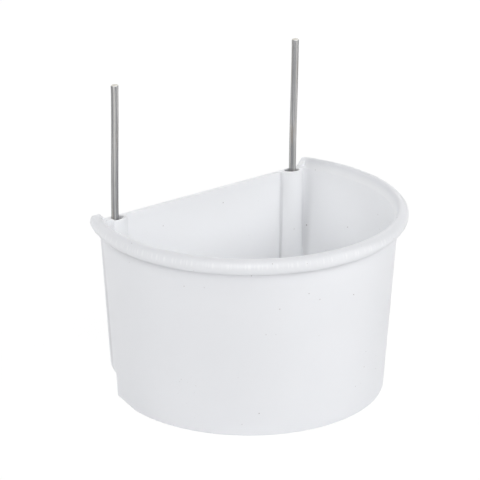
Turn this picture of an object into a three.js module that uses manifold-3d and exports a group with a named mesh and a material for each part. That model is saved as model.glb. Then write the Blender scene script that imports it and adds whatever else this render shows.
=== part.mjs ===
// A half-round cage feeding cup: one white moulding with a flat back, a rolled rim and two corner
// bosses, and two straight wire pins that stand in sockets down the bosses.
//
// Millimetres, +Z up. The flat back faces +Y, the round front faces -Y, and the origin lies under
// the middle of the cup on the surface that it stands on. The cup is drawn round the upright axis
// of its curved wall, and the whole assembly is then moved along Y to that origin.

import * as THREE from 'three';
import { mergeVertices } from 'three/addons/utils/BufferGeometryUtils.js';
import Module from 'manifold-3d';

// The moulding: a tapered round wall, cut off by a flat back
const RIM_RADIUS = 65.2; // outside of the rim
const RIM_HEIGHT = 77.4; // crest of the rim above the base
const BASE_RADIUS = 56.6; // outside of the curved wall at the base
const BACK_OFFSET = 29.7; // from the axis of the curved wall to the back face
const CURVED_WALL = 1.7;
const BACK_WALL = 1.6;
const FLOOR = 2;
const BASE_EDGE_RADIUS = 0.5;
const FLOOR_FILLET = 3;
const BACK_DROP = 3.2; // top of the back wall below the crest of the rim
const BACK_RAMP = 45; // degrees of the ramps from that top up to the ends of the crest

// The rim: the wall flares out and rolls over into a round bead, hollow underneath
const RIM_OVERHANG = 4.2; // from the curved wall to the outside of the rim
const ROLL_RADIUS = 3.2; // from the crest of the bead round its outside
const TURN_UNDER = 61; // degrees that the bead turns under, past its widest point
const EDGE_LAND = 0.4; // width of the free edge of the bead
const ROLL_THICKNESS = 2.8; // crest down to the groove under the bead
const FLARE_DEPTH = 4.4; // crest down to where the wall starts to flare
const FLARE_EDGE_RADIUS = 1.6;

// The step along the bottom of the back, which sits on a cage bar
const STEP_DEPTH = 10.5;
const STEP_HEIGHT = 10;

// The pins, and the bores that hold them
const PIN_DIAMETER = 3;
const LEFT_PIN_RISE = 55.9; // above the top of the back wall
const RIGHT_PIN_RISE = 57.6;
const PIN_BEVEL = 0.4;
const PIN_CLEARANCE = 0.3; // round the pin and under it
const BORE_BACK_WALL = 0.7; // between the bore and the back face
const BORE_SIDE_WALL = 1.7; // between the bore and the outside of the curved wall

// The bosses that hold the bores, standing against the back wall, each with an arched mouth
const BOSS_WIDTH = 10.2;
const BOSS_INSET = 0.7; // middle of the boss from the pin, towards the middle of the cup
const BOSS_SIDE = 1.1; // straight sides, before the front arches
const BOSS_DEPTH = 5.3; // from the back face to the front of the arch
const MOUTH_WALL = 1; // round the mouth
const MOUTH_DEPTH = 16; // from the top of the boss down to where the mouth has narrowed to the bore

// Fineness of the round surfaces
const WALL_SEGMENTS = 96;
const PIN_SEGMENTS = 24;
const ARC_STEPS = 3;
const BEAD_STEPS = 8;
const BOSS_STEPS = 12;

// Room that a cutting shape has past the surface it cuts
const CUT_MARGIN = 5;

// Sizes that follow from the ones above
const turnUnder = THREE.MathUtils.degToRad(TURN_UNDER);
const crestRadius = RIM_RADIUS - ROLL_RADIUS;
const rollMiddle = RIM_HEIGHT - ROLL_RADIUS;
const rimUnderside = rollMiddle - ROLL_RADIUS * Math.sin(turnUnder);
const backTop = RIM_HEIGHT - BACK_DROP;
const flareStart = RIM_HEIGHT - FLARE_DEPTH;
const insideBack = BACK_OFFSET - BACK_WALL;
const stepFace = BACK_OFFSET - STEP_DEPTH;
const shelfTop = STEP_HEIGHT + FLOOR;
const boreRadius = PIN_DIAMETER / 2 + PIN_CLEARANCE;
const boreBack = BACK_OFFSET - BORE_BACK_WALL;
const boreY = boreBack - boreRadius;
const pinFoot = shelfTop + PIN_CLEARANCE;
const axisY = (RIM_RADIUS - BACK_OFFSET) / 2;

function outerRadius(z) {
  return THREE.MathUtils.mapLinear(z, 0, rimUnderside, BASE_RADIUS, RIM_RADIUS - RIM_OVERHANG);
}

function innerRadius(z) {
  return outerRadius(z) - CURVED_WALL;
}

// Half the spacing of the pins: each bore keeps its side wall down to its foot
function boreCentreX() {
  const halfWidth = Math.sqrt(outerRadius(shelfTop) ** 2 - boreY ** 2);
  return halfWidth - boreRadius - BORE_SIDE_WALL;
}

const pinX = boreCentreX();
const bossX = pinX - BOSS_INSET;

const wasm = await Module();
wasm.setup();

function solidOf(geometry) {
  const bare = geometry.index ? geometry.toNonIndexed() : geometry.clone();
  bare.deleteAttribute('normal');
  bare.deleteAttribute('uv');
  const merged = mergeVertices(bare);
  const corners = merged.index.array;
  const kept = [];
  for (let i = 0; i < corners.length; i += 3) {
    const [a, b, c] = corners.slice(i, i + 3);
    if (a !== b && b !== c && c !== a) kept.push(a, b, c);
  }
  const mesh = new wasm.Mesh({
    numProp: 3,
    vertProperties: new Float32Array(merged.attributes.position.array),
    triVerts: new Uint32Array(kept),
  });
  return new wasm.Manifold(mesh);
}

function geometryOf(solid) {
  const { vertProperties, triVerts } = solid.getMesh();
  const geometry = new THREE.BufferGeometry();
  geometry.setAttribute('position', new THREE.BufferAttribute(vertProperties, 3));
  geometry.setIndex(new THREE.BufferAttribute(triVerts, 1));
  geometry.computeVertexNormals();
  return geometry;
}

// A profile of (radius, height), revolved round the upright axis
function revolve(profile, segments, steps = ARC_STEPS) {
  return new THREE.LatheGeometry(profile.getPoints(steps), segments).rotateX(Math.PI / 2);
}

// An upright plan outline, extruded from one height to another
function prism(outline, low, high) {
  const options = { depth: high - low, bevelEnabled: false, curveSegments: BOSS_STEPS };
  return solidOf(new THREE.ExtrudeGeometry(outline, options).translate(0, 0, low));
}

function block(low, high) {
  const size = high.clone().sub(low);
  const middle = low.clone().add(high).divideScalar(2);
  return solidOf(new THREE.BoxGeometry(...size.toArray()).translate(...middle.toArray()));
}

// Everything in front of an upright plane that is parallel to the back
function inFrontOf(y) {
  const reach = RIM_RADIUS + CUT_MARGIN;
  return block(
    new THREE.Vector3(-reach, -reach, -CUT_MARGIN),
    new THREE.Vector3(reach, y, RIM_HEIGHT + 2 * CUT_MARGIN),
  );
}

// The outside of the curved wall, filled solid up to the top of the back wall
function wallBlank() {
  const profile = new THREE.Path();
  const edgeRadius = outerRadius(BASE_EDGE_RADIUS) - BASE_EDGE_RADIUS;
  profile.moveTo(0, 0);
  profile.lineTo(edgeRadius, 0);
  profile.absarc(edgeRadius, BASE_EDGE_RADIUS, BASE_EDGE_RADIUS, -Math.PI / 2, 0);
  profile.lineTo(outerRadius(backTop), backTop);
  profile.lineTo(0, backTop);
  return solidOf(revolve(profile, WALL_SEGMENTS)).intersect(inFrontOf(BACK_OFFSET));
}

// The outside of the rim, filled solid; its ends are flush with the back face
function rimBlank() {
  const profile = new THREE.Path();
  profile.moveTo(0, rimUnderside);
  profile.lineTo(crestRadius + ROLL_RADIUS * Math.cos(turnUnder), rimUnderside);
  profile.absarc(crestRadius, rollMiddle, ROLL_RADIUS, -turnUnder, Math.PI / 2);
  profile.lineTo(0, RIM_HEIGHT);
  return solidOf(revolve(profile, WALL_SEGMENTS, BEAD_STEPS)).intersect(inFrontOf(BACK_OFFSET));
}

// The round-topped groove between the wall and the bead, open below
function rimGroove() {
  const low = rimUnderside - CUT_MARGIN;
  const outside = crestRadius + ROLL_RADIUS * Math.cos(turnUnder) - EDGE_LAND;
  const top = RIM_HEIGHT - ROLL_THICKNESS;
  const inside = outerRadius(top);
  const half = (outside - inside) / 2;
  const profile = new THREE.Path();
  profile.moveTo(outerRadius(low), low);
  profile.lineTo(outside, low);
  profile.lineTo(outside, top - half);
  profile.absarc(inside + half, top - half, half, 0, Math.PI);
  profile.lineTo(outerRadius(low), low);
  return solidOf(revolve(profile, WALL_SEGMENTS));
}

// The way out over the back wall: level along its top, ramped up to the crest at both ends
function overBackWall() {
  const crestEnd = Math.sqrt(crestRadius ** 2 - BACK_OFFSET ** 2);
  const rampFoot = crestEnd - BACK_DROP / Math.tan(THREE.MathUtils.degToRad(BACK_RAMP));
  const outline = new THREE.Shape();
  outline.moveTo(-rampFoot, backTop);
  outline.lineTo(rampFoot, backTop);
  outline.lineTo(crestEnd, RIM_HEIGHT);
  outline.lineTo(crestEnd, RIM_HEIGHT + CUT_MARGIN);
  outline.lineTo(-crestEnd, RIM_HEIGHT + CUT_MARGIN);
  outline.lineTo(-crestEnd, RIM_HEIGHT);
  const options = { depth: BACK_WALL + 2 * CUT_MARGIN, bevelEnabled: false };
  const upright = new THREE.ExtrudeGeometry(outline, options).rotateX(Math.PI / 2);
  return solidOf(upright.translate(0, BACK_OFFSET + CUT_MARGIN, 0));
}

// The room inside the wall: a rounded floor corner, the wall, and the flare up to the crest
function roundInside() {
  const profile = new THREE.Path();
  const filletZ = FLOOR + FLOOR_FILLET;
  const filletRadius = innerRadius(filletZ) - FLOOR_FILLET;
  const crease = new THREE.Vector2(innerRadius(flareStart), flareStart);
  const crest = new THREE.Vector2(crestRadius, RIM_HEIGHT - FLARE_EDGE_RADIUS);
  const toCrest = crest.clone().sub(crease);
  const flareAngle = toCrest.angle() + Math.asin(FLARE_EDGE_RADIUS / toCrest.length());
  profile.moveTo(0, FLOOR);
  profile.lineTo(filletRadius, FLOOR);
  profile.absarc(filletRadius, filletZ, FLOOR_FILLET, -Math.PI / 2, 0);
  profile.lineTo(crease.x, crease.y);
  profile.absarc(crest.x, crest.y, FLARE_EDGE_RADIUS, flareAngle + Math.PI / 2, Math.PI / 2, true);
  profile.lineTo(crestRadius, RIM_HEIGHT + CUT_MARGIN);
  profile.lineTo(0, RIM_HEIGHT + CUT_MARGIN);
  const room = inFrontOf(insideBack).add(overBackWall());
  return solidOf(revolve(profile, WALL_SEGMENTS)).intersect(room);
}

// A boss in plan, or its mouth further in: straight sides from the back, then an arched front
function bossOutline(inset, back) {
  const half = BOSS_WIDTH / 2 - inset;
  const shoulder = insideBack - BOSS_SIDE;
  const front = BACK_OFFSET - BOSS_DEPTH + inset;
  const rise = shoulder - front;
  const archRadius = (half ** 2 + rise ** 2) / (2 * rise);
  const archAngle = Math.atan2(half, archRadius - rise);
  const outline = new THREE.Shape();
  outline.moveTo(-half, back);
  outline.lineTo(-half, shoulder);
  outline.absarc(0, front + archRadius, archRadius, -Math.PI / 2 - archAngle, -Math.PI / 2 + archAngle);
  outline.lineTo(half, back);
  return outline;
}

function bossColumn(side) {
  return prism(bossOutline(0, BACK_OFFSET), 0, backTop).translate([side * bossX, 0, 0]);
}

// The floor behind the step is raised with it
function shelf() {
  const reach = RIM_RADIUS + CUT_MARGIN;
  return block(
    new THREE.Vector3(-reach, stepFace - CURVED_WALL, 0),
    new THREE.Vector3(reach, BACK_OFFSET + CUT_MARGIN, shelfTop),
  );
}

function stepCut() {
  const reach = RIM_RADIUS + CUT_MARGIN;
  return block(
    new THREE.Vector3(-reach, stepFace, -CUT_MARGIN),
    new THREE.Vector3(reach, BACK_OFFSET + CUT_MARGIN, STEP_HEIGHT),
  );
}

// An upright round cut, centred on a pin
function pinCut(side, low, high) {
  const cylinder = new THREE.CylinderGeometry(boreRadius, boreRadius, high - low, PIN_SEGMENTS);
  const upright = cylinder.rotateX(Math.PI / 2).translate(side * pinX, boreY, (low + high) / 2);
  return solidOf(upright);
}

// A blind bore down each boss, under an arched mouth that narrows to it
function socket(side) {
  const mouthFoot = backTop - MOUTH_DEPTH;
  const mouth = prism(bossOutline(MOUTH_WALL, boreBack), backTop, backTop + CUT_MARGIN);
  const funnel = wasm.Manifold.hull([
    mouth.translate([side * bossX, 0, 0]),
    pinCut(side, mouthFoot, mouthFoot + CUT_MARGIN),
  ]);
  return pinCut(side, shelfTop, backTop).add(funnel);
}

function cupSolid() {
  const inside = roundInside().subtract(bossColumn(-1)).subtract(bossColumn(1)).subtract(shelf());
  const walls = wallBlank().add(rimBlank()).subtract(rimGroove()).subtract(inside);
  return walls.subtract(stepCut()).subtract(socket(-1)).subtract(socket(1));
}

// A straight length of wire, cut square, with its sharp ends broken
function pinGeometry(rise) {
  const radius = PIN_DIAMETER / 2;
  const pinLength = backTop + rise - pinFoot;
  const profile = new THREE.Path();
  profile.moveTo(0, 0);
  profile.lineTo(radius - PIN_BEVEL, 0);
  profile.lineTo(radius, PIN_BEVEL);
  profile.lineTo(radius, pinLength - PIN_BEVEL);
  profile.lineTo(radius - PIN_BEVEL, pinLength);
  profile.lineTo(0, pinLength);
  return revolve(profile, PIN_SEGMENTS);
}

function makeCup() {
  const plastic = new THREE.MeshStandardMaterial({ color: 0xe6e8eb, roughness: 0.45, metalness: 0 });
  const cup = new THREE.Mesh(geometryOf(cupSolid()), plastic);
  cup.name = 'cup';
  return cup;
}

function makePin(name, side, rise) {
  const zinc = new THREE.MeshStandardMaterial({ color: 0x9c9ea1, roughness: 0.5, metalness: 0.9 });
  const pin = new THREE.Mesh(pinGeometry(rise), zinc);
  pin.name = name;
  pin.position.set(side * pinX, boreY, pinFoot);
  return pin;
}

const feedingCup = new THREE.Group();
feedingCup.name = 'cage_feeding_cup';
feedingCup.add(makeCup());
feedingCup.add(makePin('left_pin', -1, LEFT_PIN_RISE), makePin('right_pin', 1, RIGHT_PIN_RISE));
feedingCup.position.y = axisY;

export default feedingCup;
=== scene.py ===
# %% [markdown]
# # A cage feeding cup
#
# A half-round cup of white plastic hangs on the bars of a cage. Its back is flat, its rim is
# rolled over into a round bead, and a length of galvanised wire stands in a boss at each back
# corner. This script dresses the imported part: it loads the solids as a fixed frame, rebuilds each
# one as a smooth mesh of the same size in the same place, and gives it its finish.

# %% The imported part
import math

import bmesh
import bpy
import numpy as np
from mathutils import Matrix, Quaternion, Vector


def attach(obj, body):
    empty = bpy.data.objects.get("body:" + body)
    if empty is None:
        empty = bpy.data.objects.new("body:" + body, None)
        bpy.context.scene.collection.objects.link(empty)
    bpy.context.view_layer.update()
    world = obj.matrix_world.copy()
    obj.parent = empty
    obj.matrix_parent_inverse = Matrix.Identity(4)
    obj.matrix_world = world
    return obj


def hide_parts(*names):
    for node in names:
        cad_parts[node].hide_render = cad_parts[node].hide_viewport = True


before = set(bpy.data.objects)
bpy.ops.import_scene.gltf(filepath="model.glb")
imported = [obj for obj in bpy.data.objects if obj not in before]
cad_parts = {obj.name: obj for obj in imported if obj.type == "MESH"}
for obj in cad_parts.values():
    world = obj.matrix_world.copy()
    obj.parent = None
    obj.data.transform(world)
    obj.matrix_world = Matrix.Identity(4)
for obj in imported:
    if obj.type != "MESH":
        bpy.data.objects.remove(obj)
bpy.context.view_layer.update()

# %% [markdown]
# ## Where the camera stands
#
# The cup is seen from above and from its left front, through a long lens, so that its upright
# lines hardly converge. A camera can be aimed by a constraint, but a rotation that is worked out
# once from an eye and a target is plain to read and never changes. The small roll is the tilt of
# the picture.

# %% The camera
EYE = Vector((-0.582637, -0.688792, 0.414550))
TARGET = Vector((-0.0026125, 0.0198882, 0.0612920))
ROLL = math.radians(0.167)
LENS, SENSOR = 180, 36  # millimetres

camera = bpy.data.objects.new("camera", bpy.data.cameras.new("camera"))
camera.data.lens = LENS
camera.data.sensor_width = SENSOR
camera.data.clip_start, camera.data.clip_end = 0.05, 20
camera.rotation_mode = "QUATERNION"
camera.location = EYE
camera.rotation_quaternion = (TARGET - EYE).to_track_quat("-Z", "Y") @ Quaternion((0, 0, 1), ROLL)
bpy.context.scene.collection.objects.link(camera)
bpy.context.scene.camera = camera
print("camera to target, mm:", round(1000 * (TARGET - EYE).length, 1))

# %% [markdown]
# ## The sizes of the moulding
#
# The cup is drawn as its mould would be: a tapered round wall about an upright axis, cut off by a
# flat back. The main sizes are those of the solids, in millimetres times `MM`; the bosses, their
# mouths and the free edge of the bead have finer sizes of their own. Plan angles are counted from
# the middle of the front, so that left and right are the same angle with two signs.

# %% Wall, back and step
MM = 0.001
RIM_RADIUS, RIM_HEIGHT = 65.2 * MM, 77.4 * MM
BASE_RADIUS = 56.6 * MM
BACK = 29.7 * MM  # axis to back face
CURVED_WALL, BACK_WALL = 1.7 * MM, 1.6 * MM
FLOOR, FLOOR_FILLET = 2 * MM, 3 * MM
BACK_TOP = RIM_HEIGHT - 3.2 * MM
STEP_DEPTH, STEP_HEIGHT = 10.5 * MM, 10 * MM
INSIDE_BACK = BACK - BACK_WALL
STEP_FACE = BACK - STEP_DEPTH
SHELF_FRONT, SHELF_TOP = STEP_FACE - CURVED_WALL, STEP_HEIGHT + FLOOR
AXIS_Y = (RIM_RADIUS - BACK) / 2  # the axis of the round wall in the frame of the part

# %% Rim bead and groove
OVERHANG, BEAD_RADIUS = 4.2 * MM, 3.2 * MM
BEAD_R, BEAD_Z = RIM_RADIUS - BEAD_RADIUS, RIM_HEIGHT - BEAD_RADIUS
TURN_UNDER = math.radians(61)  # how far the bead turns under
BEAD_FOOT = BEAD_Z - BEAD_RADIUS * math.sin(TURN_UNDER)
BEAD_EDGE = BEAD_R + BEAD_RADIUS * math.cos(TURN_UNDER)
EDGE_LAND = 0.75 * MM  # free edge of the bead, before it is rounded
GROOVE_TOP = RIM_HEIGHT - 2.8 * MM
CREASE_Z = RIM_HEIGHT - 4.4 * MM  # where the wall starts to flare


def outer_radius(z):
    return BASE_RADIUS + (RIM_RADIUS - OVERHANG - BASE_RADIUS) * z / BEAD_FOOT


def inner_radius(z):
    return outer_radius(z) - CURVED_WALL


wall_radii = [round(1000 * outer_radius(z), 2) for z in (0, BEAD_FOOT)]
print("wall radius at base and rim, mm:", wall_radii)

# %% [markdown]
# ## How the cup is put together
#
# A boolean of plain solids would give the shape, with slivers along each cut that spoil a rounded
# edge. Instead every surface is laid as its own patch: a grid of quads where it is curved, one
# flat face where it is flat. Neighbouring patches share the points of their common edge, so merging
# doubles closes the whole cup into one shell.

# %% Helpers that lay patches
shell = bmesh.new()


def lay_grid(rows):
    """Quads between rows of points, from one row to the next."""
    rings = [[shell.verts.new(p) for p in row] for row in rows]
    for low, high in zip(rings, rings[1:]):
        for i in range(len(low) - 1):
            shell.faces.new((low[i], low[i + 1], high[i + 1], high[i]))


def lay_flat(*runs):
    """One flat face, whose outline is given in runs of points."""
    shell.faces.new([shell.verts.new(p) for run in runs for p in run])


def arc(x, y, radius, start, end, steps):
    """Points of a flat arc, with its angles in degrees."""
    turn = np.radians(np.linspace(start, end, steps + 1))
    return np.stack([x + radius * np.cos(turn), y + radius * np.sin(turn)], axis=1)


def at_height(plan, z):
    return np.column_stack([plan, np.full(len(plan), z)])


def around(radius, angles, z):
    """Points on a level circle about the axis, at plan angles from the front."""
    plan = np.stack([radius * np.sin(angles), -radius * np.cos(angles)], axis=1)
    return at_height(plan, z)


def through(anchors, counts):
    """Angles from zero through the anchors, with a count of steps up to each."""
    parts = [np.linspace(a, b, n, endpoint=False) for a, b, n in zip(anchors, anchors[1:], counts)]
    return np.concatenate([*parts, [anchors[-1]]])


def both_ways(angles):
    return np.concatenate([-angles[:0:-1], angles])


def angle_at(y, radius):
    """Plan angle at which a circle about the axis meets a plane parallel to the back."""
    return math.acos(-y / radius)


back_angle = math.degrees(angle_at(BACK, outer_radius(BEAD_FOOT)))
print("round wall up to the back, degrees from the front:", round(back_angle, 1))

# %% [markdown]
# ## The plan of the inside
#
# From above, the inside is a round wall with a boss standing in each back corner. A boss is a
# column against the back wall, with an arched front and two flat sides; a web joins it to the
# round wall and leaves a shallow valley in front of itself. The mould is cut by a round cutter,
# which can't reach into a corner or a gap that is narrower than itself. So the valley is found as
# the cutter finds it: by pushing a circle along the wall until it touches the web or the boss, at
# any height of the tapered wall. The boss grows a little towards its foot, so that the mould can
# be drawn upwards.

# %% Bores and bosses in plan
PIN_RADIUS, PIN_CLEARANCE = 1.5 * MM, 0.3 * MM
BORE_RADIUS = PIN_RADIUS + PIN_CLEARANCE
BORE_BACK = BACK - 0.7 * MM
BORE_Y = BORE_BACK - BORE_RADIUS
PIN_X = math.sqrt(outer_radius(SHELF_TOP) ** 2 - BORE_Y**2) - BORE_RADIUS - 1.7 * MM
BOSS_ARCH, BOSS_FRONT = 7 * MM, BACK - 5.7 * MM
BOSS_IN, BOSS_OUT = 5.8 * MM, 2.6 * MM  # sides of the boss at its top, to both sides of the pin
DRAFT = 0.012  # growth of the boss for each unit of depth
WEB_TOP, WEB_LOW, WEB_EASE = BACK - 2.9 * MM, BACK - 3.2 * MM, 6 * MM
CUTTER, BACK_FILLET = 0.8 * MM, 0.6 * MM
PLAN_SOFT = 0.35 * MM  # length over which the corners of the plan are softened
ARCH_STEPS, ROUND_STEPS, FILLET_STEPS = 120, 12, 8  # round an arch, half the cutter, a fillet
RUN_POINTS, BACK_STEPS = 91, 20  # round the valley and the boss, and along half of the back
SWEEP_START, SWEEP_STEPS = 1.8, 1500  # the cutter's way along the wall, in radians from the front
DENSE_POINTS = 801  # along a run while its corners are softened


def arched(inset, back, steps):
    """A boss, or its mouth further in: outer side, arched front, inner side."""
    radius = BOSS_ARCH - inset
    turns = [math.degrees(math.asin((side - inset) / radius)) for side in (BOSS_OUT, BOSS_IN)]
    arch = arc(PIN_X, BOSS_FRONT + BOSS_ARCH, radius, turns[0] - 90, -turns[1] - 90, steps)
    outer = np.linspace((arch[0, 0], back), arch[0], steps // 3)
    inner = np.linspace(arch[-1], (arch[-1, 0], back), steps // 6)
    return np.concatenate([outer[:-1], arch, inner[1:]])


def evened(run, count, soften):
    """The same run in even steps, with its corners softened over a length."""
    lengths = np.concatenate([[0], np.cumsum(np.hypot(*np.diff(run, axis=0).T))])
    close = np.linspace(0, lengths[-1], DENSE_POINTS)
    dense = np.stack([np.interp(close, lengths, run[:, k]) for k in (0, 1)], axis=1)
    half = round(soften / 2 / close[1])
    before = 2 * dense[0] - dense[half:0:-1]
    after = 2 * dense[-1] - dense[-2 : -half - 2 : -1]
    padded = np.concatenate([before, dense, after])
    flat = np.full(2 * half + 1, 1 / (2 * half + 1))
    soft = np.stack([np.convolve(padded[:, k], flat, "valid") for k in (0, 1)], axis=1)
    steps = np.linspace(0, lengths[-1], count)
    return np.stack([np.interp(steps, close, soft[:, k]) for k in (0, 1)], axis=1)


# %% The valley beside a boss
def boss_at(z):
    return arched(DRAFT * (z - BACK_TOP), INSIDE_BACK - BACK_FILLET, ARCH_STEPS)


def web_at(z):
    """Front of the web, which leans back just under its top."""
    up = np.clip((z - BACK_TOP) / WEB_EASE + 1, 0, 1)
    return WEB_LOW + (WEB_TOP - WEB_LOW) * up * up * (3 - 2 * up)


def cutter_spots(radius, z):
    """Where the cutter stands in the valley: at the wall, and at the boss."""
    boss = boss_at(z)
    reach, back_y = radius - CUTTER, web_at(z) - CUTTER
    beside = boss[0, 0] + CUTTER
    in_corner = math.sqrt(reach**2 - back_y**2)
    if in_corner > beside:
        return np.array([(in_corner, back_y), (beside, back_y)])
    turns = np.linspace(SWEEP_START, angle_at(back_y, reach), SWEEP_STEPS)
    sweep = around(reach, turns, 0)[:, :2]
    touching = np.hypot(*(sweep[:, None] - boss[None]).transpose(2, 0, 1)).min(axis=1) < CUTTER
    touching[-1] = True
    spot = sweep[np.argmax(touching)]
    return np.array([spot, spot])


def valley_angle(radius, z):
    """Plan angle at which the round wall gives way to the valley."""
    x, y = cutter_spots(radius, z)[0]
    return math.atan2(x, -y)


def behind_wall(radius, z):
    """Right half of the plan behind the round wall: valley, boss, fillet, half of the back."""
    boss = boss_at(z)
    at_wall, at_boss = cutter_spots(radius, z)
    touch = np.hypot(*(boss - at_boss).T).argmin()
    to_wall = math.degrees(math.atan2(at_wall[1], at_wall[0]))
    to_boss = math.degrees(math.atan2(*(boss[touch] - at_boss)[::-1])) % 360
    middle = 90 if at_wall[0] > at_boss[0] else (to_wall + to_boss) / 2
    into = arc(*at_wall, CUTTER, to_wall, middle, ROUND_STEPS)
    out_of = arc(*at_boss, CUTTER, middle, to_boss, ROUND_STEPS)
    corner_x, corner_y = boss[-1] - (BACK_FILLET, 0)
    corner = arc(corner_x, corner_y, BACK_FILLET, 0, 90, FILLET_STEPS)
    whole = np.concatenate([into, out_of, boss[touch + 1 :], corner[1:]])
    run = evened(whole, RUN_POINTS, PLAN_SOFT)
    back = np.linspace(run[-1], (0, INSIDE_BACK), BACK_STEPS + 1)
    return np.concatenate([run, back[1:]])


def whole_back(radius, z):
    """From the right end of the round wall, behind it, to its left end."""
    right = behind_wall(radius, z)
    left = right[-2::-1] * (-1, 1)
    return at_height(np.concatenate([right, left]), z)


print("pins apart, mm:", round(2000 * PIN_X, 2))
print("boss width, mm:", round(1000 * (BOSS_IN + BOSS_OUT), 2))

# %% [markdown]
# ## The outside and the rim
#
# The outside climbs the wall, dips into the hollow under the bead, rolls over the bead and goes
# down the flare. That is one profile, carried round the axis. A lathe or Spin would do it, but
# both ends have to lie flat in the back face, so each point of the profile gets its own end
# angle, and the stations between the ends are spread evenly up to it. The back wall is lower than
# the rim: at both ends a ramp leads from its top up to the crest, and the flare runs against the
# inner face of that gusset.

# %% The hollow under the bead, and a curve for the flare
groove_out = BEAD_EDGE - EDGE_LAND
groove_in = outer_radius(GROOVE_TOP)
groove_half = (groove_out - groove_in) / 2
groove_z = GROOVE_TOP - groove_half


def bezier(start, lead, trail, end, t):
    """Points of one cubic curve in (radius, height)."""
    t = np.asarray(t)[:, None]
    points = [np.array(p) for p in (start, lead, trail, end)]
    weights = ((1 - t) ** 3, 3 * t * (1 - t) ** 2, 3 * t**2 * (1 - t), t**3)
    return sum(w * p for w, p in zip(weights, points))


# %% The flare inside the rim
CREASE_SLOPE = math.radians(40)
CREST_LEAD, CREASE_LEAD = 1.9 * MM, 1.4 * MM  # how far each end of the flare keeps its direction
FINE_POINTS = 400  # to find where the flare passes the top of the back
ABOVE_POINTS, BELOW_POINTS = 15, 4  # of the flare, above that top and below it

crest = (BEAD_R, RIM_HEIGHT)
crest_lead = (BEAD_R - CREST_LEAD, RIM_HEIGHT)
crease = (inner_radius(CREASE_Z), CREASE_Z)
crease_lead = (
    crease[0] + CREASE_LEAD * math.cos(CREASE_SLOPE),
    crease[1] + CREASE_LEAD * math.sin(CREASE_SLOPE),
)
flare = (crest, crest_lead, crease_lead, crease)
fine = np.linspace(0, 1, FINE_POINTS)
flare_z = bezier(*flare, fine)[:, 1]
split = float(np.interp(-BACK_TOP, -flare_z, fine))
flare_above = bezier(*flare, np.linspace(0, split, ABOVE_POINTS))
flare_above[-1, 1] = BACK_TOP
flare_below = bezier(*flare, np.linspace(split, 1, BELOW_POINTS))
flare_below[0] = flare_above[-1]
print("flare, mm wide:", round(1000 * (crest[0] - crease[0]), 2))

# %% The whole profile
WALL_POINTS, GROOVE_STEPS, LAND_POINTS, BEAD_STEPS = 22, 10, 4, 30

wall_z = np.linspace(STEP_HEIGHT, groove_z, WALL_POINTS)
wall = np.stack([outer_radius(wall_z), wall_z], axis=1)
groove = arc(groove_in + groove_half, groove_z, groove_half, 180, 0, GROOVE_STEPS)
groove_side = np.linspace((groove_out, groove_z), (groove_out, BEAD_FOOT), LAND_POINTS)
bead = arc(BEAD_R, BEAD_Z, BEAD_RADIUS, -math.degrees(TURN_UNDER), 90, BEAD_STEPS)
profile = np.concatenate([wall, groove[1:], groove_side[1:], bead, flare_above[1:]])
CREST = len(profile) - len(flare_above)  # the row along the crest of the bead
print("points in the rim profile:", len(profile), "of which up to the crest:", CREST + 1)

# %% Outside and rim, carried round the axis
FRONT_STEPS, SIDE_STEPS, VALLEY_STEPS, END_STEPS = 96, 8, 4, 4
step_angle = angle_at(STEP_FACE, outer_radius(STEP_HEIGHT))
shelf_angle = angle_at(SHELF_FRONT, inner_radius(SHELF_TOP))
top_radius = flare_above[-1, 0]
GUSSET = WEB_TOP + 0.6 * MM  # inner face of the gussets under the ramps
valley_width = angle_at(GUSSET, top_radius) - valley_angle(top_radius, BACK_TOP)


def rim_angles(radius, share):
    """Stations round one level of the outside; share runs from the step to the flare."""
    side = step_angle + share * (shelf_angle - step_angle)
    inside = angle_at(GUSSET, radius)
    anchors = (0, side, inside - valley_width, inside, angle_at(BACK, radius))
    return through(anchors, (FRONT_STEPS, SIDE_STEPS, VALLEY_STEPS, END_STEPS))


shares = np.linspace(0, 1, len(profile))
rim_rows = [around(r, both_ways(rim_angles(r, s)), z) for (r, z), s in zip(profile, shares)]
RAMP_FOOT = math.sqrt(BEAD_R**2 - BACK**2) - (RIM_HEIGHT - BACK_TOP)  # a ramp of about 45 degrees
ends = np.array([row[-1] for row in rim_rows])
to_foot = (ends[:, 2] - BACK_TOP) / (ends[:, 0] - RAMP_FOOT)
fall, run = -np.diff(ends[:, 2]), np.abs(np.diff(ends[:, 0]))
ramp_row = next(i for i in range(CREST, len(run)) if fall[i] > to_foot[i] * run[i])
flare_rows = [row[END_STEPS:-END_STEPS] for row in rim_rows[ramp_row:]]
lay_grid(rim_rows[: ramp_row + 1])
lay_grid(flare_rows)
print("rows round the outside:", len(rim_rows), "stations:", len(rim_rows[0]))

# %% Ramps at both ends of the rim
MIRROR = np.array([-1, 1, 1])
RAMP_LEVELS = 6

ramp_top = rim_rows[ramp_row][-END_STEPS - 1 :]
ramp_low = np.array([(RAMP_FOOT, y, BACK_TOP) for y in ramp_top[:, 1]])
ramp_rows = np.linspace(ramp_top, ramp_low, RAMP_LEVELS)
gusset = np.concatenate([[row[-1] for row in flare_rows], ramp_rows[:0:-1, 0]])
for side in (1, MIRROR):
    lay_grid(ramp_rows * side)
    lay_flat(gusset * side)
boss_edge = np.array([PIN_X - BOSS_IN - BACK_FILLET, BACK, BACK_TOP])
right_end = np.concatenate([ends[: ramp_row + 1], ramp_rows[1:, -1], [boss_edge]])
lay_flat(right_end, (right_end * MIRROR)[::-1])
ramp_span = [round(1000 * float(run[-1, 0]), 2) for run in (ramp_low, ramp_top)]
print("ramp, mm from the middle:", ramp_span)

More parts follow.
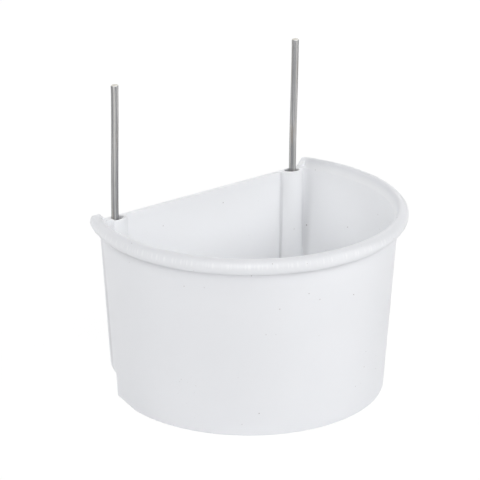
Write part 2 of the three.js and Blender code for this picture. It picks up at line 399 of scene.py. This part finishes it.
# %% [markdown]
# ## The base and the step under the back
#
# Along the bottom of the back the moulding is cut away, so that it can sit on a level cage bar.
# The base is therefore shorter than the cup. These faces are flat, apart from the strip of round
# wall in front of the step. The foot of that wall runs straight to the step at both sides, and
# the straight run fades into the round towards the top of the step.

# %% Base and step
FOOT_BEND, BEND_STEPS = math.radians(93.5), 12  # where the foot stops being round
FOOT_LEVELS = 7


def straightened(angles, z):
    """Share of the radius at plan angles, less than one where the foot runs straight."""
    half = (angles[-1] - FOOT_BEND) / 2
    across = np.maximum(np.abs(angles) - FOOT_BEND, 0) - half
    return 1 - (1 - math.cos(half) / np.cos(across)) * (1 - z / STEP_HEIGHT)


foot_rows = []
for z in np.linspace(0, STEP_HEIGHT, FOOT_LEVELS):
    foot_end = angle_at(STEP_FACE, outer_radius(z))
    counts = (FRONT_STEPS - BEND_STEPS, BEND_STEPS)
    foot_angles = both_ways(through((0, FOOT_BEND, foot_end), counts))
    foot_rows.append(around(outer_radius(z) * straightened(foot_angles, z), foot_angles, z))
top_angles = both_ways(through((0, step_angle), (FRONT_STEPS,)))  # as the wall above has them
foot_rows[-1] = around(outer_radius(STEP_HEIGHT), top_angles, STEP_HEIGHT)
lay_grid(foot_rows)
lay_flat(foot_rows[0])
lay_flat([row[-1] for row in foot_rows], [row[0] for row in foot_rows[::-1]])
side_points = SIDE_STEPS + VALLEY_STEPS + END_STEPS + 1
lay_flat(rim_rows[0][-side_points:], rim_rows[0][:side_points])
print("base width, mm:", round(2000 * max(p[0] for p in foot_rows[0]), 1))

# %% [markdown]
# ## The inside
#
# The inside goes down from the flare to a raised shelf over the step, and in front of that to the
# floor, whose edge is rounded. Each level is one closed loop in plan: round wall, then boss, back
# and boss. Between the levels lie quads.

# %% Walls of the inside
DEEP_LEVELS = 24

deep_z = np.linspace(CREASE_Z, SHELF_TOP, DEEP_LEVELS)[1:]
deep_wall = np.stack([inner_radius(deep_z), deep_z], axis=1)


def room_angles(radius, z):
    return through((0, shelf_angle, valley_angle(radius, z)), (FRONT_STEPS, SIDE_STEPS))


room_rows = []
for radius, z in np.concatenate([flare_below, deep_wall]):
    front = around(radius, both_ways(room_angles(radius, z)), z)
    room_rows.append(np.concatenate([front, whole_back(radius, z)[1:]]))
lay_grid(room_rows)
front_points = 2 * (FRONT_STEPS + SIDE_STEPS) + 1
print("levels inside, above the shelf:", len(room_rows), "points in each:", len(room_rows[0]))

# %% Shelf, floor and their walls
LOW_LEVELS, EDGE_POINTS = 5, 41  # above the fillet of the floor, and along the edge of the shelf

low_rows = []
fillet = np.radians(np.linspace(0, 90, FILLET_STEPS + 1))
low_levels = [(z, 0) for z in np.linspace(SHELF_TOP, FLOOR + FLOOR_FILLET, LOW_LEVELS)]
low_levels += [
    (FLOOR + FLOOR_FILLET * (1 - math.sin(t)), FLOOR_FILLET * (1 - math.cos(t))) for t in fillet[1:]
]
for z, inset in low_levels:
    radius = inner_radius(max(z, FLOOR + FLOOR_FILLET)) - inset
    low_angles = through((0, angle_at(SHELF_FRONT - inset, radius)), (FRONT_STEPS,))
    front = around(radius, both_ways(low_angles), z)
    across = np.linspace(front[-1], front[0], EDGE_POINTS)
    low_rows.append(np.concatenate([front, across[1:]]))
lay_grid(low_rows)
lay_flat(low_rows[-1][:-1])
shelf_edge = low_rows[0][2 * FRONT_STEPS :]
behind_shelf = room_rows[-1][front_points - 1 - SIDE_STEPS :]
left_of_shelf = room_rows[-1][1:SIDE_STEPS]
lay_flat(behind_shelf, left_of_shelf, shelf_edge[:0:-1])
print("shelf over the step, mm deep:", round(1000 * (INSIDE_BACK - SHELF_FRONT), 2))

# %% [markdown]
# ## The sockets for the wires
#
# Each boss is open at the top in an arched mouth, wider than the wire, which narrows to a round
# bore. A lofted surface between the two outlines needs the same number of points in both, so each
# point of the mouth is carried to the bore at the angle at which the bore sees it.

# %% Mouths and bores
MOUTH_WALL, MOUTH_DEPTH, MOUTH_CORNER = 0.75 * MM, 16 * MM, 1.5 * MM
MOUTH_INNER = 0.8  # the side of the mouth towards the middle of the cup is drawn in to this share
MOUTH_FRONT = 33  # points of its sides and its arch; the rest of it lies behind
MOUTH_SOFT, CORNER_STEPS = 0.6 * MM, 5
FLAT_POINTS, MOUTH_LEVELS, BORE_LEVELS = 9, 7, 5


def mouth_plan():
    side_end = BORE_BACK - MOUTH_CORNER
    front = evened(arched(MOUTH_WALL, side_end, ARCH_STEPS // 2), MOUTH_FRONT, MOUTH_SOFT)
    left = arc(front[-1, 0] + MOUTH_CORNER, side_end, MOUTH_CORNER, 180, 90, CORNER_STEPS)
    right = arc(front[0, 0] - MOUTH_CORNER, side_end, MOUTH_CORNER, 90, 0, CORNER_STEPS)
    flat = np.linspace(left[-1], right[0], FLAT_POINTS)[1:-1]
    return np.concatenate([front, left[1:], flat, right[:-1]])


def bore_plan(mouth):
    away = mouth - (PIN_X, BORE_Y)
    angles = np.arctan2(away[:, 1], away[:, 0])
    return (PIN_X, BORE_Y) + BORE_RADIUS * np.stack([np.cos(angles), np.sin(angles)], axis=1)


mouth = mouth_plan()
mouth[:, 0] += (1 - MOUTH_INNER) * np.maximum(PIN_X - mouth[:, 0], 0)
bore = bore_plan(mouth)
for side in (-1, 1):
    levels = [
        at_height((mouth + t * (bore - mouth)) * (side, 1), BACK_TOP - t * MOUTH_DEPTH)
        for t in np.linspace(0, 1, MOUTH_LEVELS)
    ]
    bore_z = np.linspace(BACK_TOP - MOUTH_DEPTH, SHELF_TOP, BORE_LEVELS)
    levels += [at_height(bore * (side, 1), z) for z in bore_z[1:]]
    lay_grid([np.concatenate([level, level[:1]]) for level in levels])
    lay_flat(levels[-1])
print("mouth, mm:", (1000 * (mouth.max(axis=0) - mouth.min(axis=0))).round(2), "points:", len(mouth))

# %% Top of the back wall and bosses
top_plan = at_height(behind_wall(top_radius, BACK_TOP), BACK_TOP)
top_mouth = at_height(mouth, BACK_TOP)
web_end = np.hypot(*(top_plan[:, :2] - (PIN_X + BOSS_OUT + CUTTER, WEB_TOP)).T).argmin()
ramp_foot, ramp_end = ramp_rows[-1, ::-1], ramp_rows[-1, :1]
boss_run, boss_end = top_plan[web_end:-BACK_STEPS], boss_edge[None]
valley_end, valley_run = flare_rows[-1][: -VALLEY_STEPS - 2 : -1], top_plan[1 : web_end + 1]
behind = (top_mouth[:1], top_mouth[: MOUTH_FRONT - 2 : -1], boss_end, ramp_foot)
before = (top_mouth[MOUTH_FRONT - 1 :: -1], ramp_end, boss_run, boss_end)
beside = (ramp_end, valley_end, valley_run)
for side in (1, MIRROR):
    for runs in (behind, before, beside):
        lay_flat(*[run * side for run in runs])
middle = top_plan[-BACK_STEPS - 1 :]
lay_flat(middle, (middle * MIRROR)[-2::-1], [boss_edge * MIRROR, boss_edge])
print("patches laid, faces in all:", len(shell.faces))

# %% [markdown]
# ## Closing the shell and rounding its edges
#
# A moulding has no knife edges: the steel of its mould is stoned a little, and plastic shrinks
# away from a corner. Once the patches are merged, every outward edge that turns sharply gets a
# small Bevel, and Weighted Normal keeps the flat faces flat in the light. The Bevel finds those
# edges by a weight of one, because an angle alone would also take the inward corners. Those stay
# plain and are marked sharp, so that no shading runs round them. On this cup the left end of the
# crest is a little flattened. That is pressed into the points after the Bevel, because a Bevel over
# the pressed faces would leave slivers.

# %% One closed cup
SAME_POINT = 0.0005 * MM

bmesh.ops.remove_doubles(shell, verts=shell.verts, dist=SAME_POINT)
bmesh.ops.translate(shell, verts=shell.verts, vec=(0, AXIS_Y, 0))
bmesh.ops.recalc_face_normals(shell, faces=shell.faces)
open_edges = sum(not edge.is_manifold for edge in shell.edges)
volume = round(1e6 * shell.calc_volume(), 1)
print("cup faces:", len(shell.faces), "open edges:", open_edges, "volume, ml:", volume)

# %% Edges to round
SHARP = math.radians(45)

weight = shell.edges.layers.float.new("bevel_weight_edge")
for edge in shell.edges:
    edge[weight] = float(edge.calc_face_angle_signed() > SHARP)
for face in shell.faces:
    face.smooth = True
cup_mesh = bpy.data.meshes.new("feeding_cup")
shell.to_mesh(cup_mesh)
shell.free()
cup = bpy.data.objects.new("feeding_cup", cup_mesh)
bpy.context.scene.collection.objects.link(cup)

# %% Rounded edges
EDGE_ROUND = 0.28 * MM

rounding = cup.modifiers.new("rounded edges", "BEVEL")
rounding.width = EDGE_ROUND
rounding.segments = 3
rounding.limit_method = "WEIGHT"
rounding.use_clamp_overlap = False
rounding.miter_outer = "MITER_ARC"


def as_plain_mesh(piece):
    """Puts what the modifiers give into the piece's own mesh, and takes them off."""
    evaluated = piece.evaluated_get(bpy.context.evaluated_depsgraph_get())
    finished = bpy.data.meshes.new_from_object(evaluated)
    piece.modifiers.clear()
    piece.data = finished
    return len(finished.polygons)


print("cup faces with rounded edges:", as_plain_mesh(cup))

# %% The left end of the crest, a little flattened
PRESSED, PRESSED_LENGTH = 0.85 * MM, 14 * MM

for point in cup.data.vertices:
    near_end = max(0, 1 - (BACK + AXIS_Y - point.co.y) / PRESSED_LENGTH) * (point.co.x < 0)
    point.co.z = min(point.co.z, RIM_HEIGHT - PRESSED * near_end**2)

# %% Even shading
INWARD = math.radians(60)  # what still turns as much after the Bevel is an inward corner

cup.data.set_sharp_from_angle(angle=INWARD)
even = cup.modifiers.new("even shading", "WEIGHTED_NORMAL")
even.weight = 60  # leans towards the large faces
even.keep_sharp = True
print("cup faces, evenly shaded:", as_plain_mesh(cup))

# %% [markdown]
# ## The wires
#
# Each pin is a length of drawn wire, cut off with pliers: the end is square, a little broken at
# its edge and squeezed wider one way than the other, and the free length leans slightly. Its
# shape follows a rule along a line, so Geometry Nodes sweep a circle along it, with rings crowded
# at both ends, and one tree makes both pins from their own sizes.

# %% A node tree for a cut length of wire
PIN_FOOT = SHELF_TOP + PIN_CLEARANCE
PIN_BREAK = 0.6 * MM


def wire_tree():
    tree = bpy.data.node_groups.new("cut wire", "GeometryNodeTree")
    face = tree.interface
    sizes = {
        "Length": 118 * MM,
        "Radius": PIN_RADIUS,
        "Edge break": PIN_BREAK,
        "Lean from": 62 * MM,
        "Lean": 0.85 * MM,
        "Squeeze": 0.05,
        "Squeeze length": 4 * MM,
    }
    sockets = {}
    for name, value in sizes.items():
        socket = face.new_socket(name, in_out="INPUT", socket_type="NodeSocketFloat")
        socket.default_value = value
        sockets[name] = socket.identifier
    place = face.new_socket("Foot", in_out="INPUT", socket_type="NodeSocketVector")
    finish = face.new_socket("Finish", in_out="INPUT", socket_type="NodeSocketMaterial")
    sockets.update({"Foot": place.identifier, "Finish": finish.identifier})
    face.new_socket("Wire", in_out="OUTPUT", socket_type="NodeSocketGeometry")
    return tree, sockets


wire, wire_sockets = wire_tree()
inputs = wire.nodes.new("NodeGroupInput").outputs
print("sizes that the wire takes:", list(wire_sockets))

# %% Helpers that make nodes
def node(tree, kind, *links, **settings):
    """A node with its settings, and its inputs linked or filled in order; None leaves one alone."""
    made = tree.nodes.new(kind)
    for name, value in settings.items():
        setattr(made, name, value)
    free = [socket for socket in made.inputs if socket.enabled]
    for socket, value in zip(free, links):
        if isinstance(value, bpy.types.NodeSocket):
            tree.links.new(value, socket)
        elif value is not None:
            socket.default_value = value
    return made


def out(made):
    """The first output of a node that is in use."""
    return next(socket for socket in made.outputs if socket.enabled)


def calc(tree, operation, *values):
    """One step of arithmetic on sockets and numbers."""
    return out(node(tree, "ShaderNodeMath", *values, operation=operation))


def eased(tree, value, low, high):
    """0 at low, 1 at high, smooth between; low may be the larger of the two."""
    made = node(tree, "ShaderNodeMapRange", value, low, high, 0.0, 1.0)
    made.interpolation_type = "SMOOTHSTEP"
    return out(made)


# %% Rings crowded towards both ends
RINGS, RING_POINTS = 121, 40
CROWDING = 0.97 / (2 * math.pi)  # just under the value at which the end rings would meet

line = node(wire, "GeometryNodeMeshLine", RINGS, mode="OFFSET")
index = out(node(wire, "GeometryNodeInputIndex"))
share = calc(wire, "DIVIDE", index, RINGS - 1)
wave = calc(wire, "SINE", calc(wire, "MULTIPLY", share, 2 * math.pi))
crowded = calc(wire, "SUBTRACT", share, calc(wire, "MULTIPLY", wave, CROWDING))
height = calc(wire, "MULTIPLY", crowded, inputs["Length"])
upright = out(node(wire, "ShaderNodeCombineXYZ", 0.0, 0.0, height))
placed = node(wire, "GeometryNodeSetPosition", out(line), True, upright)
path = node(wire, "GeometryNodeMeshToCurve", out(placed))

# %% Broken edges at the ends
spot = out(node(wire, "GeometryNodeInputPosition"))
z_now = node(wire, "ShaderNodeSeparateXYZ", spot).outputs["Z"]
to_tip = calc(wire, "SUBTRACT", inputs["Length"], z_now)
to_end = calc(wire, "MINIMUM", z_now, to_tip)
short = calc(wire, "MAXIMUM", calc(wire, "SUBTRACT", inputs["Edge break"], to_end), 0.0)
square = calc(wire, "POWER", inputs["Edge break"], 2.0)
chord = calc(wire, "SQRT", calc(wire, "SUBTRACT", square, calc(wire, "POWER", short, 2.0)))
flat_end = calc(wire, "SUBTRACT", inputs["Radius"], inputs["Edge break"])
radius_now = calc(wire, "ADD", flat_end, chord)
ring = node(wire, "GeometryNodeCurvePrimitiveCircle", RING_POINTS)
ring.inputs["Radius"].default_value = 1
swept = node(wire, "GeometryNodeCurveToMesh", out(path), out(ring), radius_now, True)
smooth = node(wire, "GeometryNodeSetShadeSmooth", out(swept))

# %% Squeezed tip, lean and place
x_now, y_now, z_now = node(wire, "ShaderNodeSeparateXYZ", spot).outputs
squeeze_from = calc(wire, "SUBTRACT", inputs["Length"], inputs["Squeeze length"])
at_tip = eased(wire, z_now, squeeze_from, inputs["Length"])
wider = calc(wire, "MULTIPLY", at_tip, inputs["Squeeze"])
narrower = calc(wire, "MULTIPLY", wider, -1.0)
free_length = eased(wire, z_now, inputs["Lean from"], inputs["Length"])
lean = calc(wire, "MULTIPLY", free_length, inputs["Lean"])
shift_x = calc(wire, "ADD", lean, calc(wire, "MULTIPLY", x_now, wider))
shift_y = calc(wire, "MULTIPLY", y_now, narrower)
shift = out(node(wire, "ShaderNodeCombineXYZ", shift_x, shift_y, 0.0))
shaped = node(wire, "GeometryNodeSetPosition", out(smooth), True)
wire.links.new(shift, shaped.inputs["Offset"])
moved = node(wire, "GeometryNodeTransform", out(shaped))
wire.links.new(inputs["Foot"], moved.inputs["Translation"])
real = node(wire, "GeometryNodeRealizeInstances", out(moved))
painted = node(wire, "GeometryNodeSetMaterial", out(real))
wire.links.new(inputs["Finish"], painted.inputs["Material"])
wire.links.new(out(painted), wire.nodes.new("NodeGroupOutput").inputs[0])
print("nodes in the wire tree:", len(wire.nodes))

# %% [markdown]
# ## The plastic
#
# The moulding is white polypropylene with a satin skin: very fine unevenness from the mould, a
# faint change of tone from place to place, and tiny specks of dirt in the plastic. A thin white
# wall lets some light through, so the inside is written lighter than the outside. Painted shade
# darkens the corners beside the bosses and the sockets, and a painted highlight lies along the
# bead in light ticks across it. Each of these could be painted on an image, which would need a
# UV map. Noise and distances on Object coordinates need none, and stay put when the cup moves.

# %% Helpers for finishes
def material(name):
    made = bpy.data.materials.new(name)
    made.use_nodes = True
    tree = made.node_tree
    return made, tree, tree.nodes["Principled BSDF"]


def mixed(tree, share, first, second):
    """A tone between two; the first may also be the output of another node."""
    start = (*first, 1) if isinstance(first, tuple) else first
    return out(node(tree, "ShaderNodeMix", share, start, (*second, 1), data_type="RGBA"))


def noise(tree, spot, scale, detail):
    made = node(tree, "ShaderNodeTexNoise", spot)
    made.inputs["Scale"].default_value = scale
    made.inputs["Detail"].default_value = detail
    return made.outputs["Fac"]


def bumped(tree, height, depth, below=None):
    """A normal that a height bends, on top of the one below it."""
    made = tree.nodes.new("ShaderNodeBump")
    made.inputs["Distance"].default_value = depth
    tree.links.new(height, made.inputs["Height"])
    if below:
        tree.links.new(below, made.inputs["Normal"])
    return made.outputs["Normal"]


def plan_length(tree, across, along):
    squares = [calc(tree, "POWER", part, 2.0) for part in (across, along)]
    return calc(tree, "SQRT", calc(tree, "ADD", *squares))


# %% White plastic
OUTSIDE_TONES = (0.853, 0.863, 0.89), (0.861, 0.87, 0.896)
CLOUD_SCALE, CLOUD_RANGE = 45, (0.3, 0.7)

white_plastic, tree, skin = material("white plastic")
where = tree.nodes.new("ShaderNodeTexCoord").outputs["Object"]
x_here, y_here, z_here = node(tree, "ShaderNodeSeparateXYZ", where).outputs
forward = calc(tree, "SUBTRACT", AXIS_Y, y_here)  # from the axis of the round wall
turn = calc(tree, "ARCTAN2", x_here, forward)
reach = plan_length(tree, x_here, forward)
cloud = eased(tree, noise(tree, where, CLOUD_SCALE, 3), *CLOUD_RANGE)
tone = mixed(tree, cloud, *OUTSIDE_TONES)

# %% Light that comes through the wall
INSIDE_TONE = (0.937, 0.945, 0.962)
INSIDE_BLEND = 0.3 * MM  # to both sides of the middle of the wall
WALL_SLOPE = (outer_radius(RIM_HEIGHT) - outer_radius(0)) / RIM_HEIGHT

sloped = calc(tree, "MULTIPLY", z_here, WALL_SLOPE)
wall_middle = calc(tree, "ADD", sloped, outer_radius(0) - CURVED_WALL / 2)
from_wall = calc(tree, "SUBTRACT", wall_middle, reach)
from_back = calc(tree, "ADD", forward, BACK - BACK_WALL / 2)
inwards = calc(tree, "MINIMUM", from_wall, from_back)
within = eased(tree, inwards, -INSIDE_BLEND, INSIDE_BLEND)
tone = mixed(tree, within, tone, INSIDE_TONE)

# %% Painted shade in the corners beside the bosses
# the tone of painted shade, in the corners and in the sockets
PAINTED_SHADE_TONE = (0.2, 0.2, 0.215)
SHADE_TOP, SHADE_LOW = 72 * MM, 46 * MM  # heights where it is thin, and where it is thick
SHADE_FAINT, SHADE_STRONG = 0.05, 0.22
SHADED_CORNERS = {  # place beside the axis and behind it; how far the painted shade is whole, and where it ends
    "at the round wall": (53.1 * MM, 25.2 * MM, 0.6 * MM, 3.8 * MM),
    "at the back": (41.3 * MM, 27.7 * MM, 0.7 * MM, 1.2 * MM),
}
beside_middle = calc(tree, "ABSOLUTE", x_here)


def away_from(x, y, stretch=1.0):
    """Distance in plan from an upright line at both sides of the cup; stretch makes it an oval."""
    across = calc(tree, "DIVIDE", calc(tree, "SUBTRACT", beside_middle, x), stretch)
    return plan_length(tree, across, calc(tree, "ADD", forward, y))


# painted shade: the corners beside each boss are darkened, and more so further down
corners = [eased(tree, away_from(x, y), end, full) for x, y, full, end in SHADED_CORNERS.values()]
deeper_shade = out(node(tree, "ShaderNodeMapRange", z_here, SHADE_TOP, SHADE_LOW, SHADE_FAINT, SHADE_STRONG))
corner_shade = calc(tree, "MULTIPLY", calc(tree, "MAXIMUM", *corners), deeper_shade)
tone = mixed(tree, corner_shade, tone, PAINTED_SHADE_TONE)

# %% Painted shade inside the sockets
SOCKET_X, SOCKET_STRETCH = PIN_X - 1.1 * MM, 1.28  # middle and shape of an oval over the mouth
SOCKET_FULL, SOCKET_END = 2.45 * MM, 2.8 * MM
TOP_BLEND, BACK_BLEND = (0.1 * MM, 0.5 * MM), (0.2 * MM, 0.5 * MM)  # in from both faces
SOCKET_SHADE = 0.35

over_mouth = eased(tree, away_from(SOCKET_X, BORE_Y, SOCKET_STRETCH), SOCKET_END, SOCKET_FULL)
under_top = eased(tree, z_here, *[BACK_TOP - depth for depth in TOP_BLEND])
before_back = eased(tree, calc(tree, "ADD", forward, BACK), *BACK_BLEND)
in_mouth = calc(tree, "MULTIPLY", over_mouth, under_top)
in_socket = calc(tree, "MULTIPLY", in_mouth, before_back)
# painted shade: the mouth of each socket is darkened
tone = mixed(tree, calc(tree, "MULTIPLY", in_socket, SOCKET_SHADE), tone, PAINTED_SHADE_TONE)

# %% Specks in the plastic
SPECK_TONE = (0.16, 0.11, 0.09)
PATCH = (-53.3 * MM, -6.5 * MM, 17.6 * MM)  # a place with more of them, low on the left
PATCH_FULL, PATCH_END = 2.5 * MM, 7.5 * MM


def specks(scale, core, edge, strength):
    """One speck in each cell of the plastic, most of them faint."""
    seeds = tree.nodes.new("ShaderNodeTexVoronoi")
    seeds.inputs["Scale"].default_value = scale
    tree.links.new(where, seeds.inputs["Vector"])
    speck = eased(tree, seeds.outputs["Distance"], edge, core)
    chance = node(tree, "ShaderNodeSeparateColor", seeds.outputs["Color"]).outputs["Red"]
    depth = calc(tree, "MULTIPLY", calc(tree, "POWER", chance, 2.0), strength)
    return calc(tree, "MULTIPLY", speck, depth)


off_patch = node(tree, "ShaderNodeVectorMath", where, PATCH, operation="DISTANCE").outputs["Value"]
on_patch = eased(tree, off_patch, PATCH_END, PATCH_FULL)
fine_specks = specks(scale=700, core=0.08, edge=0.17, strength=0.7)
crowded_specks = calc(tree, "MULTIPLY", fine_specks, on_patch)
stray_specks = specks(scale=190, core=0.03, edge=0.058, strength=0.85)
tone = mixed(tree, calc(tree, "MAXIMUM", stray_specks, crowded_specks), tone, SPECK_TONE)

# %% Painted highlight along the bead, in ticks across it
ON_BEAD_Z, ON_BEAD_R = (71.5 * MM, 72.5 * MM), (60.5 * MM, 61.5 * MM)
TICK_SCALE, TICK_RANGE = 55, (0.5, 0.68)  # the scale is for each radian round the rim
HIGHLIGHT_TONE, HIGHLIGHT_SHARE = (0.955, 0.962, 0.975), 0.55
HIGHLIGHT_Z, HIGHLIGHT_FULL, HIGHLIGHT_END = BEAD_Z + 0.9 * MM, 0.3 * MM, 1.5 * MM

on_bead = calc(tree, "MULTIPLY", eased(tree, z_here, *ON_BEAD_Z), eased(tree, reach, *ON_BEAD_R))
along_rim = calc(tree, "MULTIPLY", turn, TICK_SCALE)
marks = node(tree, "ShaderNodeTexNoise", along_rim, noise_dimensions="1D")
marks.inputs["Scale"].default_value = 1
marks.inputs["Detail"].default_value = 1
ticks = calc(tree, "MULTIPLY", eased(tree, marks.outputs["Fac"], *TICK_RANGE), on_bead)
off_highlight_line = calc(tree, "ABSOLUTE", calc(tree, "SUBTRACT", z_here, HIGHLIGHT_Z))
painted_highlight = calc(tree, "MULTIPLY", ticks, eased(tree, off_highlight_line, HIGHLIGHT_END, HIGHLIGHT_FULL))
# painted highlight: a lighter tone in ticks along the middle of the bead
tone = mixed(tree, calc(tree, "MULTIPLY", painted_highlight, HIGHLIGHT_SHARE), tone, HIGHLIGHT_TONE)
tree.links.new(tone, skin.inputs["Base Color"])

# %% Skin of the plastic
GRAIN_SCALE, GRAIN_DEPTH, TICK_DEPTH = 900, 0.012 * MM, 0.02 * MM
SHINE_SCALE, SHINE_RANGE = 160, (0.3, 0.7)
SMOOTHEST, ROUGHEST, BEAD_POLISH = 0.36, 0.46, 0.05  # roughness, and how much less on the bead

grain = bumped(tree, noise(tree, where, GRAIN_SCALE, 3), GRAIN_DEPTH)
tree.links.new(bumped(tree, ticks, TICK_DEPTH, grain), skin.inputs["Normal"])
patchy = noise(tree, where, SHINE_SCALE, 2)
shine = out(node(tree, "ShaderNodeMapRange", patchy, *SHINE_RANGE, SMOOTHEST, ROUGHEST))
polish = calc(tree, "MULTIPLY", on_bead, BEAD_POLISH)
tree.links.new(calc(tree, "SUBTRACT", shine, polish), skin.inputs["Roughness"])
skin.inputs["Specular IOR Level"].default_value = 0.4
cup.data.materials.clear()
cup.data.materials.append(white_plastic)
print("nodes in the white plastic:", len(tree.nodes))

# %% [markdown]
# ## The galvanised wire
#
# Drawn wire with a dull zinc coat: blue-grey with streaks along its length, which the drawing die
# leaves, brown where the coat is thin, and bright where the cutter went through. The streaks are
# one noise, stretched along the wire.

# %% Zinc wire
COAT_TONES = (0.327, 0.327, 0.336), (0.57, 0.566, 0.557)
RUST_TONE, RUST_SHARE = (0.36, 0.31, 0.25), 0.5
STREAK_SCALES, STREAK_RANGE = (1300, 14), (0.4, 0.66)  # scales across the wire and along it
RUST_SCALES, RUST_RANGE = (900, 60), (0.56, 0.7)
CUT_TONE, CUT_FACING = (0.82, 0.8, 0.74), (0.4, 0.8)
DULL, BRIGHT, STREAK_DEPTH = 0.5, 0.36, 0.03 * MM  # roughness between and on the streaks

zinc_wire, tree, skin = material("zinc wire")
where = tree.nodes.new("ShaderNodeTexCoord").outputs["Object"]


def drawn_out(across, along):
    """A place whose noise is stretched along the wire."""
    scales = (across, across, along)
    return out(node(tree, "ShaderNodeVectorMath", where, scales, operation="MULTIPLY"))


streak = eased(tree, noise(tree, drawn_out(*STREAK_SCALES), 1, 3), *STREAK_RANGE)
rust = eased(tree, noise(tree, drawn_out(*RUST_SCALES), 1, 2), *RUST_RANGE)
coat = mixed(tree, streak, *COAT_TONES)
coat = mixed(tree, calc(tree, "MULTIPLY", rust, RUST_SHARE), coat, RUST_TONE)
normal = tree.nodes.new("ShaderNodeNewGeometry").outputs["Normal"]
upwards = node(tree, "ShaderNodeSeparateXYZ", normal).outputs["Z"]
cut_end = eased(tree, upwards, *CUT_FACING)
tree.links.new(mixed(tree, cut_end, coat, CUT_TONE), skin.inputs["Base Color"])
skin.inputs["Metallic"].default_value = 0.9
dull = node(tree, "ShaderNodeMapRange", streak, 0.0, 1.0, DULL, BRIGHT)
tree.links.new(out(dull), skin.inputs["Roughness"])
tree.links.new(bumped(tree, streak, STREAK_DEPTH), skin.inputs["Normal"])
print("nodes in the zinc wire:", len(tree.nodes))

# %% Both pins
PINS = {
    "left_pin": dict(side=-1, rise=55.9 * MM, lean=0.85 * MM, squeeze=0.13),
    "right_pin": dict(side=1, rise=57.6 * MM, lean=0.85 * MM, squeeze=0.04),
}
OFF_AXIS_X, OFF_AXIS_Y = -0.2 * MM, 0.16 * MM  # how a pin stands in its bore, within its clearance
pins = {}
for name, cut in PINS.items():
    pin = bpy.data.objects.new(name + "_wire", bpy.data.meshes.new(name + "_wire"))
    bpy.context.scene.collection.objects.link(pin)
    drawn = pin.modifiers.new("cut wire", "NODES")
    drawn.node_group = wire
    drawn[wire_sockets["Length"]] = BACK_TOP + cut["rise"] - PIN_FOOT
    drawn[wire_sockets["Lean from"]] = BACK_TOP - PIN_FOOT
    drawn[wire_sockets["Lean"]] = cut["lean"]
    drawn[wire_sockets["Squeeze"]] = cut["squeeze"]
    foot_x, foot_y = cut["side"] * PIN_X + OFF_AXIS_X, BORE_Y + AXIS_Y + OFF_AXIS_Y
    drawn[wire_sockets["Foot"]] = (foot_x, foot_y, PIN_FOOT)
    drawn[wire_sockets["Finish"]] = zinc_wire
    print(name, "faces:", as_plain_mesh(pin))
    pins[name] = pin

# %% [markdown]
# ## Floor, background and light
#
# The cup stands in a white studio, which could be lit until it is white, but then the cup would
# be too bright. Here the floor is white to the camera, and the world to the camera and to
# reflections, by Light Path. The light that falls on the cup comes from six large soft panels,
# at a plain level.

# %% White floor
FLOOR_HALF = 3.0  # metres
PAPER_TONE, PAPER_GLOW, GLOW_SHARE = 0.97, 1.03, 0.9  # the rest of the share shows the shadow

floor_mesh = bpy.data.meshes.new("floor")
signs = ((-1, -1), (1, -1), (1, 1), (-1, 1))
floor_corners = [(x * FLOOR_HALF, y * FLOOR_HALF, 0) for x, y in signs]
floor_mesh.from_pydata(floor_corners, [], [(0, 1, 2, 3)])
floor = bpy.data.objects.new("floor", floor_mesh)
bpy.context.scene.collection.objects.link(floor)
paper, tree, skin = material("white paper")
skin.inputs["Base Color"].default_value = (PAPER_TONE, PAPER_TONE, PAPER_TONE, 1)
skin.inputs["Roughness"].default_value = 0.9
glow = tree.nodes.new("ShaderNodeEmission")
glow.inputs["Strength"].default_value = PAPER_GLOW
seen = tree.nodes.new("ShaderNodeLightPath").outputs["Is Camera Ray"]
glowing = calc(tree, "MULTIPLY", seen, GLOW_SHARE)
mix = node(tree, "ShaderNodeMixShader", glowing, skin.outputs[0], glow.outputs[0])
tree.links.new(mix.outputs[0], tree.nodes["Material Output"].inputs["Surface"])
floor_mesh.materials.append(paper)
print("floor, m wide:", 2 * FLOOR_HALF)

# %% White world
SOFT_LIGHT = 0.02  # what the world itself gives to the cup

world = bpy.data.worlds.new("white studio")
bpy.context.scene.world = world
world.use_nodes = True
tree = world.node_tree
soft = tree.nodes["Background"]
soft.inputs["Color"].default_value = (1, 1, 1, 1)
path_of = tree.nodes.new("ShaderNodeLightPath").outputs
soft.inputs["Strength"].default_value = SOFT_LIGHT
white = tree.nodes.new("ShaderNodeBackground")
reflected = calc(tree, "MAXIMUM", path_of["Is Glossy Ray"], path_of["Is Transmission Ray"])
shown = calc(tree, "MAXIMUM", path_of["Is Camera Ray"], reflected)
mix = node(tree, "ShaderNodeMixShader", shown, soft.outputs[0], white.outputs[0])
tree.links.new(mix.outputs[0], tree.nodes["World Output"].inputs["Surface"])

# %% Lamps
AIM, AWAY, LAMP_WIDTH = Vector((0, 0, 0.045)), 1.4, 0.9
LAMPS = {  # degrees to the right of straight in front, degrees up, watts
    "left front panel": (-42, 30, 7.6),
    "front panel": (0, 33, 2.5),
    "right front panel": (40, 33, 6.9),
    "right back panel": (120, 21, 8.8),
    "back panel": (180, 22, 5.9),
    "left back panel": (-120, 40, 6.2),
}
for name, (aside, up, power) in LAMPS.items():
    panel = bpy.data.lights.new(name, "AREA")
    panel.shape = "DISK"
    panel.size = LAMP_WIDTH
    panel.energy = power
    held = bpy.data.objects.new(name, panel)
    rise = math.radians(up)
    toward = Vector(around(math.cos(rise), [math.radians(aside)], math.sin(rise))[0])
    held.location = AIM + AWAY * toward
    held.rotation_mode = "QUATERNION"
    held.rotation_quaternion = (-toward).to_track_quat("-Z", "Y")
    held.visible_glossy = "front" in name  # the back panels leave no glint on the crest
    bpy.context.scene.collection.objects.link(held)
bpy.context.scene.view_settings.view_transform = "Standard"
print("light from all panels, watts:", round(sum(power for _, _, power in LAMPS.values()), 1))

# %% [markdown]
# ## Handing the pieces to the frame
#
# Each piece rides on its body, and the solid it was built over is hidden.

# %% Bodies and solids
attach(cup, "cup")
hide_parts("cup")
for name, pin in pins.items():
    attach(pin, name)
    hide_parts(name)
